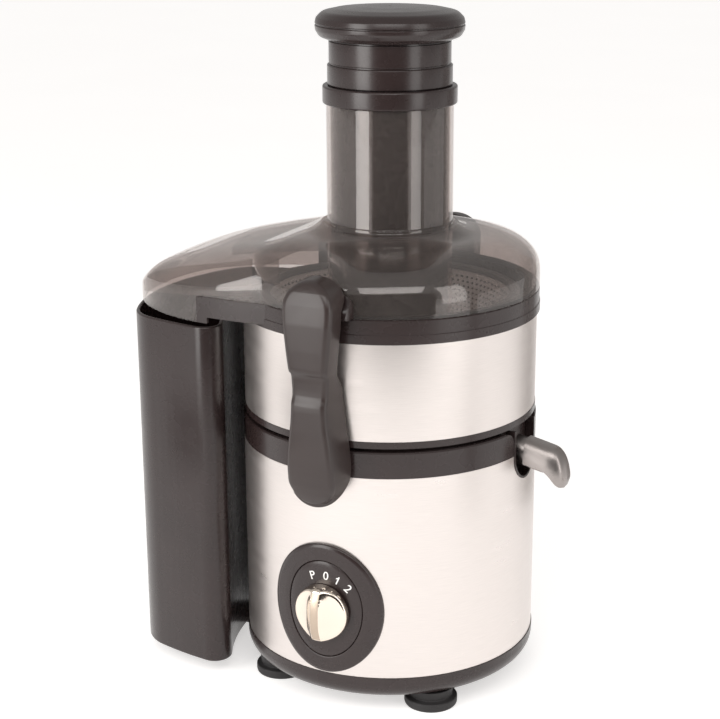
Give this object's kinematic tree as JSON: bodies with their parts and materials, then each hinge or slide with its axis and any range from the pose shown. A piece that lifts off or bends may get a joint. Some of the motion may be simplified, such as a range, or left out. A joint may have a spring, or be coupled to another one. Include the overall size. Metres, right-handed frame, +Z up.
{
  "type": "centrifugal juicer",
  "caption": "Centrifugal juicer: steel motor base, juice bowl with spout, clear lid with round feed chute and pusher, side pulp bin and swing latch arms.",
  "frame": {"origin": "on the surface it stands on, at the motor's axis", "axes": "+Z up along the motor's axis, +X towards the juice spout, -X towards the pulp bin, -Y front with the speed knob"},
  "size_m": [0.2969, 0.2374, 0.437],
  "materials": {
    "black_plastic": "satin moulded plastic, warm brown-black",
    "latch_plastic": "satin moulded plastic, slightly lighter",
    "switch_plastic": "plain moulded plastic",
    "fan_plastic": "plain moulded plastic",
    "filter_plastic": "dense food-grade plastic",
    "smoke_clear": "clear smoke-grey plastic, polished",
    "brushed_steel": "stainless sheet, brushed round the body",
    "stainless": "bright pierced stainless sheet",
    "bearing_steel": "ground steel",
    "zinc_steel": "zinc-plated steel",
    "lamination": "stacked electrical steel, varnished",
    "copper": "enamelled copper winding",
    "brass": "pressed brass",
    "carbon": "pressed carbon",
    "cast_aluminium": "die-cast, bead blasted",
    "board_green": "glass-fibre board with solder mask",
    "white_print": "white pad print",
    "plated_silver": "plated plastic, polished",
    "plated_champagne": "plated plastic, warm polished",
    "rubber": "moulded rubber"
  },
  "bodies": {
    "base": {"base_pan": "black_plastic", "rubber_feet": "rubber", "foot_screws": "zinc_steel", "base_steel_shell": "brushed_steel", "base_housing": "black_plastic", "base_deck": "black_plastic", "deck_screws": "zinc_steel", "spout_pocket": "black_plastic", "cord_gland": "rubber", "panel_bezel": "black_plastic", "dial_plate": "black_plastic", "dial_scale": "white_print", "rotary_switch": "switch_plastic", "switch_nut": "zinc_steel", "motor_stator": "lamination", "field_coils": "copper", "upper_bearing": "bearing_steel", "lower_bearing": "bearing_steel", "upper_motor_bracket": "cast_aluminium", "lower_motor_bracket": "cast_aluminium", "brush_holders": "brass", "carbon_brushes": "carbon", "motor_bushes": "rubber", "motor_screws": "zinc_steel", "circuit_board": "board_green", "heat_sink": "cast_aluminium", "interlock_switch": "switch_plastic", "shaft_seal": "rubber", "juice_bowl": "black_plastic", "bowl_rim": "black_plastic", "bowl_floor": "black_plastic", "bowl_sleeve": "black_plastic", "bowl_steel_band": "brushed_steel", "juice_spout": "plated_silver", "spout_hood": "plated_silver", "latch_pins": "zinc_steel"},
    "spinner": {"motor_shaft": "bearing_steel", "armature_core": "lamination", "armature_winding": "copper", "commutator": "copper", "cooling_fan": "fan_plastic", "drive_coupling": "black_plastic", "filter_hub": "filter_plastic", "grater_disc": "stainless", "filter_mesh": "stainless", "filter_rim": "filter_plastic"},
    "knob": {"selector_knob": "plated_champagne", "switch_shaft": "bearing_steel"},
    "lid": {"lid_cover": "smoke_clear", "chute_collar": "black_plastic", "latch_lugs": "black_plastic", "lid_seal": "rubber"},
    "pusher": {"pusher_tube": "black_plastic", "pusher_stop": "black_plastic", "pusher_cap": "black_plastic"},
    "front_latch_body": {"front_latch": "latch_plastic"},
    "rear_latch_body": {"rear_latch": "latch_plastic"},
    "bin": {"pulp_bin": "black_plastic"}
  },
  "joints": [
    {"name": "basket_spin", "type": "hinge", "parent": "base", "child": "spinner", "pos_m": [0, 0, 0.18], "axis": [0, 0, 1], "continuous": true},
    {"name": "knob_turn", "type": "hinge", "parent": "base", "child": "knob", "pos_m": [0, -0.1, 0.072], "axis": [0, 1, 0], "range_deg": [-21, 42]},
    {"name": "lid_lift", "type": "slide", "parent": "base", "child": "lid", "axis": [0, 0, 1], "range_m": [0, 0.05]},
    {"name": "front_latch_swing", "type": "hinge", "parent": "base", "child": "front_latch_body", "pos_m": [0, -0.1075, 0.167], "axis": [1, 0, 0], "range_deg": [0, 33.3]},
    {"name": "rear_latch_swing", "type": "hinge", "parent": "base", "child": "rear_latch_body", "pos_m": [0, 0.1075, 0.167], "axis": [-1, 0, 0], "range_deg": [0, 33.3]},
    {"name": "pusher_slide", "type": "slide", "parent": "lid", "child": "pusher", "axis": [0, 0, 1], "range_m": [0, 0.15]},
    {"name": "bin_slide", "type": "slide", "parent": "base", "child": "bin", "axis": [-1, 0, 0], "range_m": [0, 0.1]}
  ],
  "couplings": [
    {"joint": "front_latch_swing", "follows": "lid_lift", "rad_per_m": 11.6},
    {"joint": "rear_latch_swing", "follows": "lid_lift", "rad_per_m": 11.6}
  ]
}
